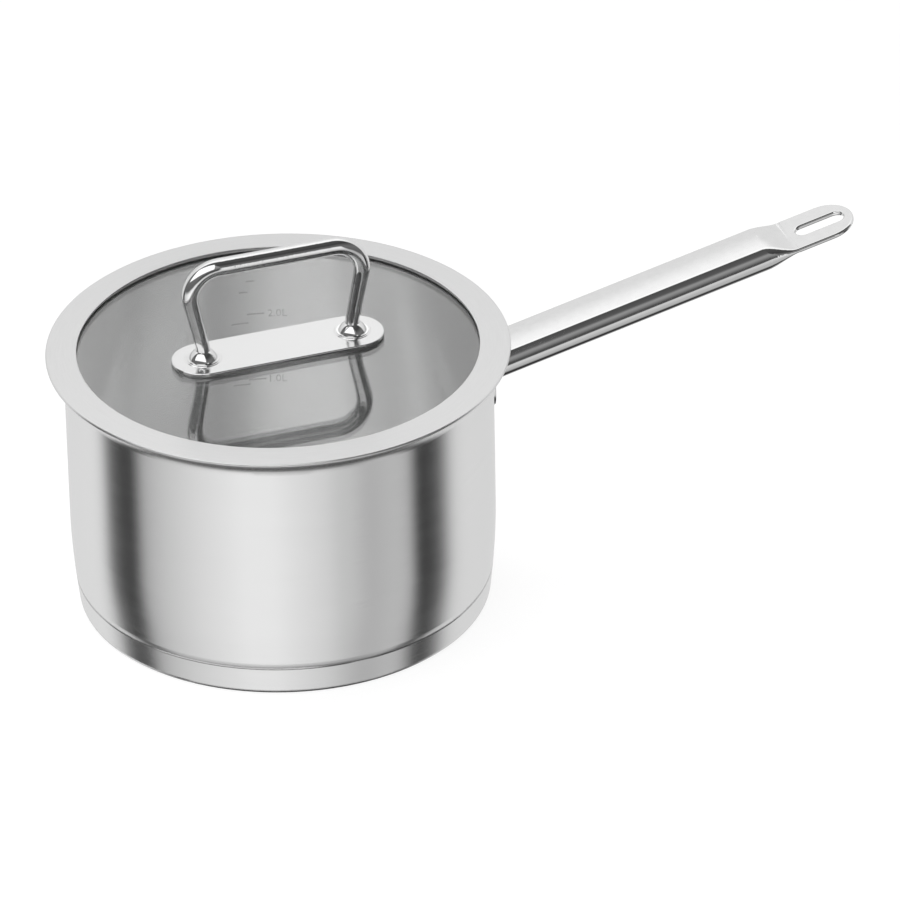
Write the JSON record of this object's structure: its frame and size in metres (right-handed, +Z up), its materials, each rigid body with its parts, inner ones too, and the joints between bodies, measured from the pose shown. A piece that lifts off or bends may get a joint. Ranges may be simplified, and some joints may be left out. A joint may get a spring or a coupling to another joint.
{
  "type": "saucepan with glass lid",
  "caption": "Straight-sided steel saucepan with a capsule base, a hollow handle ending in a slotted tab, and a flat glass lid with a wide steel rim and a bow grip.",
  "frame": {"origin": "centre of the base on the worktop", "axes": "+Z up along the pan's axis, +X from the axis along the long handle"},
  "size_m": [0.3979, 0.2184, 0.1836],
  "materials": {
    "brushed_steel": "brushed round the pan",
    "satin_steel": "satin",
    "polished_steel": "mirror polished",
    "clear_glass": "clear toughened glass",
    "silicone": "translucent, matt",
    "core_aluminium": "plain"
  },
  "bodies": {
    "pan": {"pan_body": "brushed_steel", "base_core": "core_aluminium", "base_cap": "brushed_steel", "handle_flange": "polished_steel", "handle_tube": "polished_steel"},
    "lid": {"lid_rim": "satin_steel", "lid_gasket": "silicone", "lid_glass": "clear_glass", "plate_pad": "silicone", "lid_plate": "satin_steel", "lid_bow": "polished_steel", "lid_collar_left": "polished_steel", "glass_bush_left": "silicone", "lower_seal_left": "silicone", "lower_washer_left": "satin_steel", "lid_screw_left": "satin_steel", "lid_collar_right": "polished_steel", "glass_bush_right": "silicone", "lower_seal_right": "silicone", "lower_washer_right": "satin_steel", "lid_screw_right": "satin_steel"}
  },
  "joints": [
    {"name": "lid_lift", "type": "slide", "parent": "pan", "child": "lid", "axis": [0, 0, 1], "range_m": [0, 0.15]}
  ]
}
